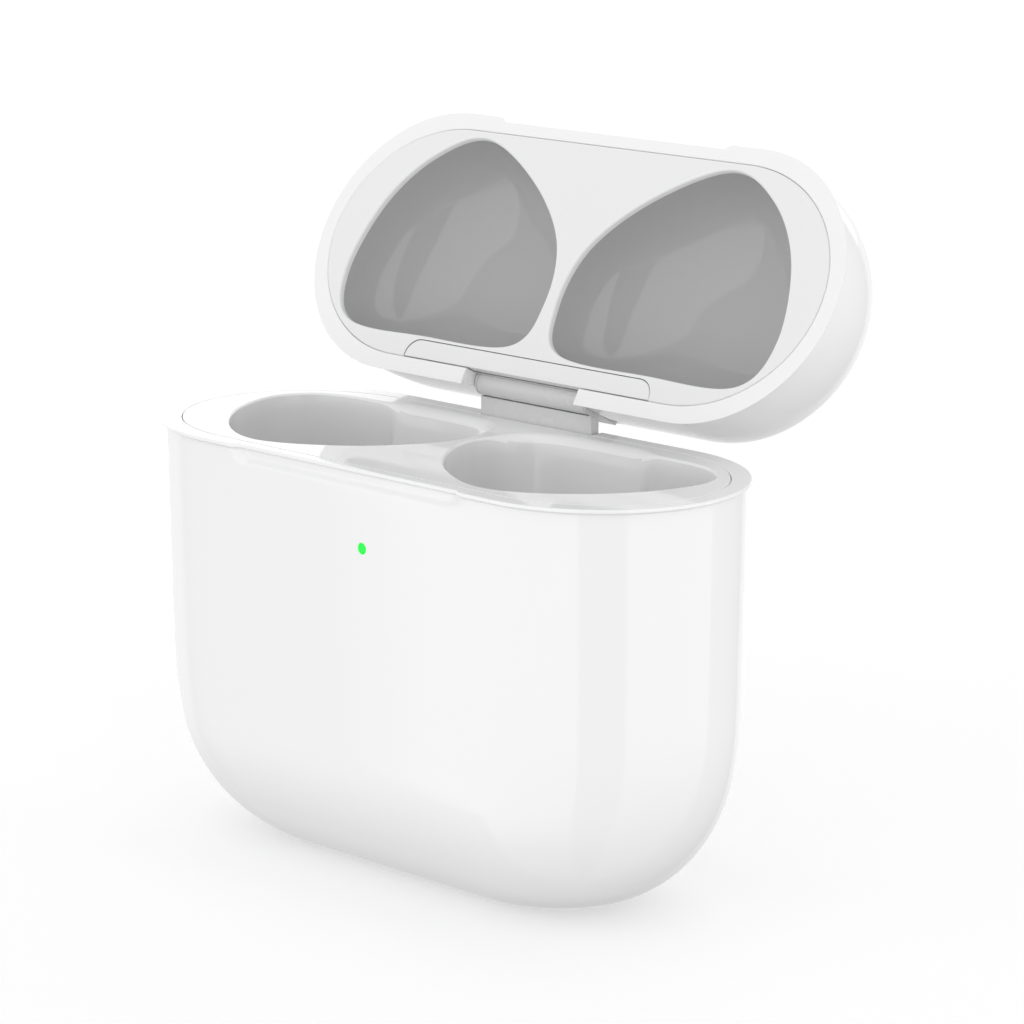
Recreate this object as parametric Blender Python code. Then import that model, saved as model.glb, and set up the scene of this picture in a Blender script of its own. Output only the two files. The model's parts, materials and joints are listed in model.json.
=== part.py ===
"""Charging case for two wireless earbuds, standing open.

The case is built closed, with the rim plane at RIM_HEIGHT above the surface it stands on. Every
piece of the lid hangs from an empty on the hinge axis, which is then turned back to the open stop.
Lengths are millimetres in the constants and metres in the scene. +Z is up and -Y is the front.
"""

import math

import bmesh
import bpy
from mathutils import Matrix, Vector

MM = 0.001

# Driving dimensions, in millimetres.
WIDTH = 50.1
DEPTH = 20.9
RIM_HEIGHT = 30.8  # from the surface it stands on to the rim of the body
LID_HEIGHT = 12.1  # from the rim plane to the top of the closed lid
CORNER_LENGTH = 10.8  # how far the round ends of the plan reach in from each side
WALL = 0.95
LIP = 0.36  # how far the rim stands out from the wall below it
LIP_START = 0.5  # distances from the rim plane between which the wall steps in from the lip
LIP_HEIGHT = 0.9
EDGE = 0.3  # size of the rounding along the outer edge of each rim
LID_GAP = 0.2  # between the two rims when closed
SEAM = 0.15  # between a shell and the insert in it
FRAME_SHIFT_Y = -7.42  # puts the origin under the middle of the open case

OPEN_ANGLE = math.radians(120)
HINGE_Y = 9.44
HINGE_Z = 2.3  # above the rim plane
HINGE_HALF_WIDTH = 5.45
LUG_WIDTH = 0.6
LUG_RADIUS = 0.9
BLOCK_FRONT = 0.24  # from the hinge axis to the front of the fixed block
BLOCK_REAR = 0.6
NOTCH_STEP = 1.25  # height over the rim plane above which the lid's notch goes in deeper
PIN_RADIUS = 0.35
PIN_CLEARANCE = 0.05

# Roundings of the two shells: reach across the plan, reach along the height, and exponent.
BODY_ROUND_X = (12.2, 15.0, 2.3)
BODY_ROUND_Y = (5.6, 8.4, 1.65)
LID_ROUND_X = (9.0, 11.6, 1.93)
LID_ROUND_Y = (7.3, 11.6, 3.0)
BODY_DRAFT = 0.19 / 15
LID_DRAFT = 0.45 / 15

# Right-hand earbud pocket in plan, one point for each turn of its rounded triangle.
POCKET_OUTLINE = [
    (0.55, 3.0),
    (1.6, -1.2),
    (5.4, -5.3),
    (11.0, -7.9),
    (15.6, -6.9),
    (19.7, -1.8),
    (21.3, 3.0),
    (18.4, 6.4),
    (11.0, 7.1),
    (3.4, 6.8),
]
POCKET_CENTRE = (11.2, 0.2)
POCKET_WALL = 0.55
BOWL_DEPTH = 13.0
BOWL_TAPER = 0.28
STEM_CENTRE = (4.9, 1.6)
STEM_HALF = (3.1, 3.0)
STEM_TOP = 4.0
STEM_BOTTOM = 22.0
RECESS_DEPTH = 6.6
RECESS_TAPER = 0.36
TOP_PLATE = 1.2

PORT_HALF = (4.45, 1.6)
PORT_DEPTH = 7.0
PORT_WALL = 0.35
TRIM_WIDTH = 0.45
LED_X = 1.6
LED_BELOW_RIM = 5.55
LED_RADIUS = 0.4
SCOOP_HALF_WIDTH = 11.2
SCOOP_HALF_HEIGHT = 1.35
SCOOP_CUT = 0.36
COVER_HALF_WIDTH = 12.0
COVER_FRONT = 7.7
COVER_REAR = 8.95
COVER_THICKNESS = 0.9

ROUND_STEPS = 8  # segments in a quarter of an outline's round end


def clear_scene():
    for obj in list(bpy.data.objects):
        bpy.data.objects.remove(obj)
    for collection in list(bpy.data.collections):
        bpy.data.collections.remove(collection)


def material(name, color, roughness, metallic=0.0):
    made = bpy.data.materials.get(name)
    if made is None:
        made = bpy.data.materials.new(name)
        made.use_nodes = True
        shader = made.node_tree.nodes["Principled BSDF"]
        shader.inputs["Base Color"].default_value = (*color, 1)
        shader.inputs["Roughness"].default_value = roughness
        shader.inputs["Metallic"].default_value = metallic
    return made


def gloss_white():
    return material("gloss_white", (0.9, 0.9, 0.9), 0.15)


def insert_white():
    return material("insert_white", (0.87, 0.87, 0.88), 0.2)


def steel():
    return material("steel", (0.6, 0.6, 0.62), 0.3, 1.0)


def magnet():
    return material("magnet", (0.55, 0.55, 0.57), 0.35, 1.0)


def board_green():
    return material("board_green", (0.02, 0.16, 0.07), 0.5)


def chip_black():
    return material("chip_black", (0.02, 0.02, 0.02), 0.45)


def cell_silver():
    return material("cell_silver", (0.45, 0.46, 0.48), 0.5, 0.6)


def contact_gold():
    return material("contact_gold", (0.83, 0.62, 0.25), 0.25, 1.0)


def led_green():
    return material("led_green", (0.05, 0.9, 0.1), 0.3)


def flex_amber():
    return material("flex_amber", (0.45, 0.2, 0.03), 0.45)


def finish(name, mesh, surface, collection):
    """An object for a mesh that is already in millimetres, with smooth round faces."""
    mesh.transform(Matrix.Scale(MM, 4))
    mesh.shade_smooth()
    mesh.set_sharp_from_angle(angle=math.radians(35))
    obj = bpy.data.objects.new(name, mesh)
    if surface is not None:
        mesh.materials.append(surface)
    collection.objects.link(obj)
    return obj


def from_bmesh(name, shape, surface, collection):
    bmesh.ops.recalc_face_normals(shape, faces=shape.faces)
    mesh = bpy.data.meshes.new(name)
    shape.to_mesh(mesh)
    shape.free()
    return finish(name, mesh, surface, collection)


def box(name, low, high, surface, collection, bevel=0.0):
    """A box between two corners, with its edges rounded by bevel."""
    size = [b - a for a, b in zip(low, high)]
    middle = [(a + b) / 2 for a, b in zip(low, high)]
    shape = bmesh.new()
    bmesh.ops.create_cube(shape, size=1, matrix=Matrix.Translation(middle) @ Matrix.Diagonal((*size, 1)))
    if bevel:
        bmesh.ops.bevel(
            shape, geom=shape.edges[:], offset=bevel, segments=2, profile=0.5, affect="EDGES"
        )
    return from_bmesh(name, shape, surface, collection)


def cylinder(name, centre, axis, radius, length, surface, collection, sides=20):
    """A cylinder centred on a point, along X, Y or Z."""
    turn = Vector((0, 0, 1)).rotation_difference(Vector(axis)).to_matrix().to_4x4()
    shape = bmesh.new()
    bmesh.ops.create_cone(
        shape,
        cap_ends=True,
        segments=sides,
        radius1=radius,
        radius2=radius,
        depth=length,
        matrix=Matrix.Translation(centre) @ turn,
    )
    return from_bmesh(name, shape, surface, collection)


def loft(name, rings, surface, collection):
    """Rings of equal length joined in order, with a cap on each end."""
    shape = bmesh.new()
    rows = [[shape.verts.new(point) for point in ring] for ring in rings]
    for upper, lower in zip(rows, rows[1:]):
        for i in range(len(upper)):
            j = (i + 1) % len(upper)
            shape.faces.new((upper[i], upper[j], lower[j], lower[i]))
    shape.faces.new(rows[0])
    shape.faces.new(rows[-1])
    return from_bmesh(name, shape, surface, collection)


def rounded_plan(half_x, half_y, corner_x, corner_y, steps=ROUND_STEPS):
    """A rectangle whose corners are quarter ellipses, as plan points anticlockwise."""
    points = []
    for quarter, (sign_x, sign_y) in enumerate(((1, 1), (-1, 1), (-1, -1), (1, -1))):
        for step in range(steps + 1):
            angle = math.pi / 2 * (quarter + step / steps)
            x = sign_x * (half_x - corner_x) + corner_x * math.cos(angle)
            y = sign_y * (half_y - corner_y) + corner_y * math.sin(angle)
            points.append((x, y))
    return points


def smooth_loop(points, steps=3):
    """Catmull-Rom points through a closed outline."""
    count = len(points)
    smooth = []
    for i in range(count):
        a, b, c, d = (Vector(points[(i + k) % count]) for k in (-1, 0, 1, 2))
        for step in range(steps):
            t = step / steps
            curve = (2 * a - 5 * b + 4 * c - d) * t**2 + (3 * b - a - 3 * c + d) * t**3
            smooth.append(0.5 * (2 * b + (c - a) * t + curve))
    return smooth


def rounding(distance, height, reach, rise, power):
    """How far a wall has curved in at a distance from the rim, on a shell of this height."""
    t = min(max((distance - (height - rise)) / rise, 0.0), 1.0)
    return reach * (1 - (1 - t**power) ** (1 / power))


def shell_ring(distance, height, round_x, round_y, draft, inset=0.0):
    """The shell's plan at a distance from the rim plane, as plan points."""
    lip = min(max((distance - LIP_START) / (LIP_HEIGHT - LIP_START), 0.0), 1.0)
    straight = LIP * lip + draft * distance + inset
    half_x = WIDTH / 2 - straight - rounding(distance, height, *round_x)
    half_y = DEPTH / 2 - straight - rounding(distance, height, *round_y)
    plan = rounded_plan(WIDTH / 2, DEPTH / 2, CORNER_LENGTH, DEPTH / 2 - 0.05)
    return [(x * half_x / (WIDTH / 2), y * half_y / (DEPTH / 2)) for x, y in plan]


def body_ring(distance, inset=0.0):
    return shell_ring(distance, RIM_HEIGHT, BODY_ROUND_X, BODY_ROUND_Y, BODY_DRAFT, inset)


def lid_ring(distance, inset=0.0):
    return shell_ring(distance, LID_HEIGHT, LID_ROUND_X, LID_ROUND_Y, LID_DRAFT, inset)


def distances(first, last, count):
    """Distances from the rim, closer together toward the last one."""
    span = last - first
    return [first + span * math.sin(math.pi / 2 * i / count) for i in range(count + 1)]


def shell(name, ring, height, first, count, direction, collection):
    """A hollow shell as one loft: down its outside from the closed end to the rim, then back up inside."""
    levels = distances(LIP_HEIGHT, height, count)
    outer = [(level, ring(level)) for level in reversed(levels)]
    rim = [(first + EDGE, ring(first + EDGE)), (first, ring(first, EDGE)), (first, ring(LIP_HEIGHT, WALL))]
    inner = [(level * (height - WALL) / height, ring(level, WALL)) for level in levels[1:]]
    rings = []
    for level, plan in (*outer, *rim, *inner):
        rings.append([(x, y, RIM_HEIGHT + direction * level) for x, y in plan])
    return loft(name, rings, gloss_white(), collection)


def boolean(obj, other, operation="DIFFERENCE"):
    modifier = obj.modifiers.new(other.name, "BOOLEAN")
    modifier.operation = operation
    modifier.object = other


def cutter(made):
    """Marks an object as a helper that isn't part of the case."""
    made.hide_render = True
    made.display_type = "WIRE"
    return made


def pocket_rings(side, depth, taper, direction, start, wall=0.0, levels=5):
    """Rings of one pocket, from its mouth to its floor. wall grows it outward."""
    outline = smooth_loop(POCKET_OUTLINE)
    centre_x, centre_y = POCKET_CENTRE
    grow = 1 + wall / 9.0
    rings = []
    for level in [start, *(depth * math.sin(math.pi / 2 * i / levels) for i in range(1, levels + 1))]:
        shrink = 1 - taper * (1 - (1 - (max(level, 0) / depth) ** 2.5) ** 0.4)
        ring = []
        for x, y in outline:
            px = side * (centre_x + (x - centre_x) * grow * shrink)
            py = centre_y + (y - centre_y) * grow * shrink
            ring.append((px, py, RIM_HEIGHT + direction * (level + (wall if level == depth else 0))))
        rings.append(ring)
    return rings


def stem_rings(side, top, bottom, wall=0.0, sides=16):
    """Rings of the round well below a bowl, which holds an earbud's stem."""
    rings = []
    for level, inset in ((top, 0.0), (bottom - 1.2, 0.0), (bottom - 0.35, 0.35), (bottom, 1.2)):
        ring = []
        for i in range(sides):
            angle = 2 * math.pi * i / sides
            x = side * STEM_CENTRE[0] + (STEM_HALF[0] + wall - inset) * math.cos(angle)
            y = STEM_CENTRE[1] + (STEM_HALF[1] + wall - inset) * math.sin(angle)
            ring.append((x, y, RIM_HEIGHT - level - (wall if level > top else 0)))
        rings.append(ring)
    return rings


def plate(name, outline, low, high, surface, collection):
    """A flat plate with this plan between two heights above the rim plane."""
    rings = [[(x, y, RIM_HEIGHT + z) for x, y in outline] for z in (high, low)]
    return loft(name, rings, surface, collection)


def finger_scoop(name, cutters):
    """A long shallow dish across the split, cut into the front of both shells."""
    outline = rounded_plan(SCOOP_HALF_WIDTH, SCOOP_HALF_HEIGHT, SCOOP_HALF_HEIGHT, SCOOP_HALF_HEIGHT - 0.05, 5)
    back = -DEPTH / 2 + SCOOP_CUT
    rings = [[(x, y, RIM_HEIGHT + z) for x, z in outline] for y in (-DEPTH / 2 - 2, back)]
    return cutter(loft(name, rings, None, cutters))


def body_shell(parts, cutters):
    obj = shell("body_shell", body_ring, RIM_HEIGHT, 0.0, 11, -1, parts)
    boolean(obj, finger_scoop("body_scoop_cutter", cutters))
    hinge_slot = box(
        "hinge_slot_cutter",
        (-HINGE_HALF_WIDTH - 0.15, HINGE_Y - BLOCK_FRONT - 0.12, RIM_HEIGHT - 6.3),
        (HINGE_HALF_WIDTH + 0.15, DEPTH, RIM_HEIGHT + 1),
        None,
        cutters,
    )
    boolean(obj, cutter(hinge_slot))
    led_hole = cylinder(
        "led_hole_cutter",
        (LED_X, -DEPTH / 2, RIM_HEIGHT - LED_BELOW_RIM),
        (0, 1, 0),
        LED_RADIUS + 0.1,
        6,
        None,
        cutters,
    )
    boolean(obj, cutter(led_hole))
    half_x, half_y = (half + TRIM_WIDTH + 0.3 for half in PORT_HALF)
    port = rounded_plan(half_x, half_y, half_y, half_y - 0.05)
    boolean(obj, cutter(plate("port_hole_cutter", port, -RIM_HEIGHT - 2, -RIM_HEIGHT + 4, None, cutters)))
    return obj


def insert_plate(name, ring, distance, low, high, collection):
    """The flat top of an insert, filling the plan inside its shell."""
    outline = ring(distance, WALL + SEAM)
    return plate(name, outline, low, high, insert_white(), collection)


def body_insert(parts, cutters):
    """The flat top face with the two pockets that hold the earbuds hanging from it."""
    obj = insert_plate("body_insert", body_ring, LIP_HEIGHT, -TOP_PLATE, 0.0, parts)
    for side, word in ((-1, "left"), (1, "right")):
        cup = pocket_rings(side, BOWL_DEPTH, BOWL_TAPER, -1, 0.3, POCKET_WALL)
        boolean(obj, cutter(loft(f"cup_{word}_body", cup, None, cutters)), "UNION")
        well = stem_rings(side, STEM_TOP, STEM_BOTTOM, POCKET_WALL)
        boolean(obj, cutter(loft(f"well_{word}_body", well, None, cutters)), "UNION")
    for side, word in ((-1, "left"), (1, "right")):
        bowl = pocket_rings(side, BOWL_DEPTH, BOWL_TAPER, -1, -1.0)
        boolean(obj, cutter(loft(f"bowl_{word}_cutter", bowl, None, cutters)))
        stem = stem_rings(side, STEM_TOP, STEM_BOTTOM)
        boolean(obj, cutter(loft(f"stem_{word}_cutter", stem, None, cutters)))
        for row in (-1, 1):
            at = (side * STEM_CENTRE[0], STEM_CENTRE[1] + row * 1.0, RIM_HEIGHT - STEM_BOTTOM)
            hole = cylinder(f"contact_{word}_{row}_cutter", at, (0, 0, 1), 0.5, 4, None, cutters, 12)
            boolean(obj, cutter(hole))
    return obj


def charge_contacts(parts):
    """Two sprung pins come up through the floor of each stem well."""
    for side, word in ((-1, "left"), (1, "right")):
        for row, end in ((-1, "front"), (1, "rear")):
            at = (side * STEM_CENTRE[0], STEM_CENTRE[1] + row * 1.0, RIM_HEIGHT - STEM_BOTTOM - 0.3)
            cylinder(f"charge_pin_{word}_{end}", at, (0, 0, 1), 0.35, 1.8, contact_gold(), parts, 12)


def batteries(parts):
    """A cell stands on each side of the stem wells, below the bowls."""
    for side, word in ((-1, "left"), (1, "right")):
        near, far = sorted((side * 8.9, side * 17.6))
        low = (near, -5.2, RIM_HEIGHT - 25.6)
        high = (far, 5.2, RIM_HEIGHT - 15.7)
        box(f"battery_{word}", low, high, cell_silver(), parts, bevel=1.2)


def boards(parts):
    """The main board in front of the cells, with its two chips, and the small board of the light."""
    box("main_board", (-13, -6.9, RIM_HEIGHT - 24.6), (13, -6.1, RIM_HEIGHT - 15.2), board_green(), parts)
    for word, low, high in (("charge_chip", -6.4, -2.4), ("control_chip", 1.8, 6.8)):
        box(word, (low, -5.8, RIM_HEIGHT - 22.4), (high, -4.9, RIM_HEIGHT - 18.4), chip_black(), parts)
    box("led_board", (-1.2, -7.7, RIM_HEIGHT - 8.6), (4.8, -7.2, RIM_HEIGHT - 4.1), board_green(), parts)
    box("flex_cable", (0.4, -8.3, RIM_HEIGHT - 18.2), (3.2, -8.0, RIM_HEIGHT - 6.6), flex_amber(), parts)
    box("lid_sensor", (-1.1, -8.4, RIM_HEIGHT - 6.1), (0.1, -7.8, RIM_HEIGHT - 4.9), chip_black(), parts)


def status_light(parts):
    """A lens in the front wall, with the lamp behind it."""
    height = RIM_HEIGHT - LED_BELOW_RIM
    front = -DEPTH / 2 + LIP + BODY_DRAFT * LED_BELOW_RIM
    lens = (LED_X, front + 0.85, height)
    cylinder("light_guide", lens, (0, 1, 0), LED_RADIUS, 1.6, led_green(), parts, 16)
    box(
        "status_led", (LED_X - 0.5, -8.36, height - 0.4), (LED_X + 0.5, -7.9, height + 0.4), led_green(), parts
    )


def body_magnets(parts):
    """A bar under the front of the rim holds the lid shut, and a disc below each bowl holds an earbud."""
    box("body_magnet", (-3, -8.3, RIM_HEIGHT - 3.6), (3, -6.9, RIM_HEIGHT - 1.6), magnet(), parts)
    for side, word in ((-1, "left"), (1, "right")):
        at = (side * 13.5, 0, RIM_HEIGHT - BOWL_DEPTH - POCKET_WALL - 0.95)
        cylinder(f"bud_magnet_{word}", at, (0, 0, 1), 3.0, 1.1, magnet(), parts, 24)


def charging_port(parts, cutters):
    """The socket in the underside: a trim ring, a steel can and the tongue in it."""
    bottom = -RIM_HEIGHT
    half_x, half_y = PORT_HALF
    reach = TRIM_WIDTH
    outer = rounded_plan(half_x + reach + 0.15, half_y + reach + 0.15, half_y + reach, half_y + reach, 6)
    inner = rounded_plan(half_x + 0.15, half_y + 0.15, half_y, half_y, 6)
    trim = plate("port_trim", outer, bottom + 0.15, bottom + 1.5, steel(), parts)
    boolean(trim, cutter(plate("port_trim_cutter", inner, bottom - 1, bottom + 3, None, cutters)))
    can_plan = rounded_plan(half_x, half_y, half_y - 0.05, half_y - 0.05, 6)
    can = plate("port_can", can_plan, bottom + 0.4, bottom + PORT_DEPTH, steel(), parts)
    mouth = rounded_plan(
        half_x - PORT_WALL, half_y - PORT_WALL, half_y - PORT_WALL - 0.05, half_y - PORT_WALL - 0.05, 6
    )
    hollow = plate("port_can_cutter", mouth, bottom - 1, bottom + PORT_DEPTH - PORT_WALL, None, cutters)
    boolean(can, cutter(hollow))
    box(
        "port_tongue",
        (-3.3, -0.35, RIM_HEIGHT + bottom + 1.0),
        (3.3, 0.35, RIM_HEIGHT + bottom + PORT_DEPTH - PORT_WALL - 0.2),
        chip_black(),
        parts,
    )


def hinge_bracket(parts, cutters):
    """The fixed leaf: a block in the rear of the body rim, with a lug up each side to the pin."""
    axis_z = RIM_HEIGHT + HINGE_Z
    front, rear = HINGE_Y - BLOCK_FRONT, HINGE_Y + BLOCK_REAR
    obj = box(
        "hinge_bracket",
        (-HINGE_HALF_WIDTH, front, RIM_HEIGHT - 6.0),
        (HINGE_HALF_WIDTH, rear, RIM_HEIGHT + 1.1),
        steel(),
        parts,
    )
    for side, word in ((-1, "left"), (1, "right")):
        near, far = sorted((side * (HINGE_HALF_WIDTH - LUG_WIDTH), side * HINGE_HALF_WIDTH))
        web = box(
            f"lug_{word}_web", (near, front + 0.02, axis_z - 1.6), (far, rear - 0.02, axis_z), None, cutters
        )
        boolean(obj, cutter(web), "UNION")
        ear = ((near + far) / 2, HINGE_Y, axis_z)
        lug = cylinder(f"lug_{word}_body", ear, (1, 0, 0), LUG_RADIUS, LUG_WIDTH - 0.02, None, cutters)
        boolean(obj, cutter(lug), "UNION")
    hole = cylinder(
        "pin_hole_cutter", (0, HINGE_Y, axis_z), (1, 0, 0), PIN_RADIUS + PIN_CLEARANCE, 14, None, cutters
    )
    boolean(obj, cutter(hole))
    return obj


def hinge_pin(parts):
    at = (0, HINGE_Y, RIM_HEIGHT + HINGE_Z)
    cylinder("hinge_pin", at, (1, 0, 0), PIN_RADIUS, 2 * HINGE_HALF_WIDTH - 0.1, steel(), parts)


def hinge_leaf(parts, cutters):
    """The moving leaf: a barrel on the pin and a plate that runs up the rear wall of the lid."""
    axis_z = RIM_HEIGHT + HINGE_Z
    half = HINGE_HALF_WIDTH - LUG_WIDTH - 0.15
    obj = cylinder("hinge_leaf", (0, HINGE_Y, axis_z), (1, 0, 0), LUG_RADIUS, 2 * half, steel(), parts)
    inside = half - 0.02
    wide = HINGE_HALF_WIDTH + 2.4
    for word, reach, front, rear, low, high in (
        ("strap", inside, -0.55, 0.45, 0.0, 3.4),
        ("neck", inside - 0.02, -1.8, -0.5, 1.3, 2.6),
        ("flange", wide, -1.84, -1.42, 1.2, 2.7),
    ):
        bar = box(
            f"leaf_{word}",
            (-reach, HINGE_Y + front, axis_z + low),
            (reach, HINGE_Y + rear, axis_z + high),
            None,
            cutters,
        )
        boolean(obj, cutter(bar), "UNION")
    hole = cylinder(
        "barrel_hole_cutter", (0, HINGE_Y, axis_z), (1, 0, 0), PIN_RADIUS + PIN_CLEARANCE, 14, None, cutters
    )
    boolean(obj, cutter(hole))
    return obj


def lid_shell(parts, cutters):
    obj = shell("lid_shell", lid_ring, LID_HEIGHT, LID_GAP, 9, 1, parts)
    boolean(obj, finger_scoop("lid_scoop_cutter", cutters))
    half = HINGE_HALF_WIDTH + 0.15
    for word, front, low, high in (
        ("lower", HINGE_Y - BLOCK_FRONT - 0.1, -1, NOTCH_STEP + 0.05),
        ("upper", HINGE_Y - 1.2, NOTCH_STEP, HINGE_Z + 3.6),
    ):
        notch = box(
            f"lid_notch_{word}_cutter",
            (-half, front, RIM_HEIGHT + low),
            (half, DEPTH, RIM_HEIGHT + high),
            None,
            cutters,
        )
        boolean(obj, cutter(notch))
    return obj


def lid_insert(parts, cutters):
    """The underside of the lid, with a recess over each earbud and room for the hinge cover."""
    obj = insert_plate("lid_insert", lid_ring, LIP_HEIGHT, LID_GAP, LID_GAP + TOP_PLATE, parts)
    for side, word in ((-1, "left"), (1, "right")):
        cup = pocket_rings(side, RECESS_DEPTH, RECESS_TAPER, 1, LID_GAP + 0.3, POCKET_WALL)
        boolean(obj, cutter(loft(f"recess_{word}_body", cup, None, cutters)), "UNION")
    for side, word in ((-1, "left"), (1, "right")):
        bowl = pocket_rings(side, RECESS_DEPTH, RECESS_TAPER, 1, -1.0)
        boolean(obj, cutter(loft(f"recess_{word}_cutter", bowl, None, cutters)))
    room = box(
        "cover_room_cutter",
        (-COVER_HALF_WIDTH - SEAM, COVER_FRONT - SEAM, RIM_HEIGHT - 1),
        (COVER_HALF_WIDTH + SEAM, DEPTH, RIM_HEIGHT + LID_HEIGHT),
        None,
        cutters,
    )
    boolean(obj, cutter(room))
    return obj


def hinge_cover(parts):
    return box(
        "hinge_cover",
        (-COVER_HALF_WIDTH, COVER_FRONT, RIM_HEIGHT + LID_GAP),
        (COVER_HALF_WIDTH, COVER_REAR, RIM_HEIGHT + LID_GAP + COVER_THICKNESS),
        insert_white(),
        parts,
    )


def lid_magnet(parts):
    box("lid_magnet", (-3, -7.6, RIM_HEIGHT + 1.9), (3, -6.2, RIM_HEIGHT + 3.9), magnet(), parts)


def hang(collection, hinge):
    """Parents everything in a collection of the closed lid to the hinge, so that it turns with it."""
    for obj in collection.objects:
        obj.parent = hinge
        obj.matrix_parent_inverse = Matrix.Translation(hinge.location).inverted()


def collection_in(parent, name):
    made = bpy.data.collections.new(name)
    parent.children.link(made)
    return made


def main():
    clear_scene()
    scene = bpy.context.scene.collection
    case = collection_in(scene, "earbuds_charging_box")
    cutters = collection_in(scene, "cutters")
    body, lid = collection_in(case, "body"), collection_in(case, "lid")
    body_cutters, lid_cutters = collection_in(cutters, "body_cutters"), collection_in(cutters, "lid_cutters")

    body_shell(body, body_cutters)
    body_insert(body, body_cutters)
    charge_contacts(body)
    batteries(body)
    boards(body)
    status_light(body)
    charging_port(body, body_cutters)
    body_magnets(body)
    hinge_bracket(body, body_cutters)
    hinge_pin(body)

    lid_shell(lid, lid_cutters)
    lid_insert(lid, lid_cutters)
    lid_magnet(lid)
    hinge_cover(lid)
    hinge_leaf(lid, lid_cutters)

    middle = bpy.data.objects.new("case_origin", None)
    hinge = bpy.data.objects.new("lid_axis", None)
    hinge.location = Vector((0, HINGE_Y, RIM_HEIGHT + HINGE_Z)) * MM
    for empty in (middle, hinge):
        case.objects.link(empty)
    hang(lid, hinge)
    hang(lid_cutters, hinge)
    for obj in (*body.objects, *body_cutters.objects, hinge):
        obj.parent = middle
    hinge.rotation_euler.x = -OPEN_ANGLE
    middle.location.y = FRAME_SHIFT_Y * MM


main()
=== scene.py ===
"""The looks of an earbuds charging case that stands open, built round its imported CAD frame.

Shapes are worked out in millimetres in the closed case's own axes: x to the right, y to the rear,
and z up from the plane of the rim. make moves them into the frame, in metres, and dress turns the
finished pieces of the lid back about the hinge.
"""

import json
import math

import bmesh
import bpy
from mathutils import Matrix, Vector


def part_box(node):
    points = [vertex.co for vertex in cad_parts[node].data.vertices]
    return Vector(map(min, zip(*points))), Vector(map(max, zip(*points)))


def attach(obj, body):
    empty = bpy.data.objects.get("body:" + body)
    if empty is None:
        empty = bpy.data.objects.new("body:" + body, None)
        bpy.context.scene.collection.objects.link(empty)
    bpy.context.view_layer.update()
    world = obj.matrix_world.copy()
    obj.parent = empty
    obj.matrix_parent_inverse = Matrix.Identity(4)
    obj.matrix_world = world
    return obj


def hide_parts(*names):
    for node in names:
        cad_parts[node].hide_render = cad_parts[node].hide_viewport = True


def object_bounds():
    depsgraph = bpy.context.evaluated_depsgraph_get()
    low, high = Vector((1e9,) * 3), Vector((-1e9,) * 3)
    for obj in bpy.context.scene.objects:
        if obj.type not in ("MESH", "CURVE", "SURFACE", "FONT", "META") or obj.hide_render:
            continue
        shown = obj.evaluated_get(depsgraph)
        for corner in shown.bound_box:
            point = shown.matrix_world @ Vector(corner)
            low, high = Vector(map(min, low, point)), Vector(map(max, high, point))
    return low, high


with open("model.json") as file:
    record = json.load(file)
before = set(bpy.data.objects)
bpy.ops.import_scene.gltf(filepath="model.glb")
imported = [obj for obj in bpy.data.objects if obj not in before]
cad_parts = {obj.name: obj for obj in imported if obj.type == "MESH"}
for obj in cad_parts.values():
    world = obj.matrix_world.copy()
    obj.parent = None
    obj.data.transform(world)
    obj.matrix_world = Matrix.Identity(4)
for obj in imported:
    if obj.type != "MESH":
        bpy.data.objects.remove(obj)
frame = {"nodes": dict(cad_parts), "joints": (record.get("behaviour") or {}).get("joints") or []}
CAD_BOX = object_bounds()

MM = 0.001
SHELL_LOW, SHELL_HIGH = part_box("body_shell")
WIDTH = (SHELL_HIGH.x - SHELL_LOW.x) / MM
DEPTH = (SHELL_HIGH.y - SHELL_LOW.y) / MM
HEIGHT = (SHELL_HIGH.z - SHELL_LOW.z) / MM
MIDDLE = Vector(((SHELL_LOW.x + SHELL_HIGH.x) / 2, (SHELL_LOW.y + SHELL_HIGH.y) / 2, SHELL_HIGH.z))
JOINT = frame["joints"][0]
AXIS = Vector(JOINT["pos_m"])
OPEN_ANGLE = math.radians(JOINT["range_deg"][1])
HINGE_Y = (AXIS.y - MIDDLE.y) / MM
HINGE_Z = (AXIS.z - MIDDLE.z) / MM
HINGE_CENTRE = (0, HINGE_Y, HINGE_Z)

X_AXIS = (1, 0, 0)
Y_AXIS = (0, 1, 0)
Z_AXIS = (0, 0, 1)
SIDES = ((-1, "left"), (1, "right"))
UP = 1  # the lid's shapes go up from the rim plane
DOWN = -1  # and the body's go down from it

# The two shells. Distances are from the rim plane.
LID_HEIGHT = 12.1
CORNER_LENGTH = 10.8  # how far the round ends of the plan reach in from each side
WALL = 0.95
LIP = 0.36  # how far the rim stands out from the wall below it
LIP_START = 0.2  # the wall steps in from the lip between this distance and the next
LIP_END = 0.42
LID_GAP = 0.2  # between the two rims when closed
SEAM = 0.05  # between a shell and the insert in it
RIM_EDGE = 0.13  # size of the rounding along the outer edge of each rim
INNER_EDGE = 0.06  # and of the bevel along its inner edge
INNER_START = 1.2  # the inside of the wall is drawn from here on
# Roundings of the far end: how far it comes in, over what height, and the power of its curve.
BODY_ROUND_X = (12.2, 15.0, 2.3)
BODY_ROUND_Y = (5.6, 8.4, 1.65)
LID_ROUND_X = (9.0, 11.6, 1.93)
LID_ROUND_Y = (7.3, 11.6, 3.0)
BODY_DRAFT = 0.19 / 15
LID_DRAFT = 0.45 / 15
SCOOP_HALF_WIDTH = 11.2
SCOOP_HEIGHT = 1.4
SCOOP_DEPTH = 0.36
SCOOP_FADE = 0.45

# The inserts. Each level of their edge is a distance from the face and what it adds to the inset.
INSERT_PLATE = 1.2
INSERT_EDGE = ((0.4, SEAM), (0.22, 0.01), (0.05, SEAM))
FACE_BEVEL = 0.03  # and this is added at the face itself
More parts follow.
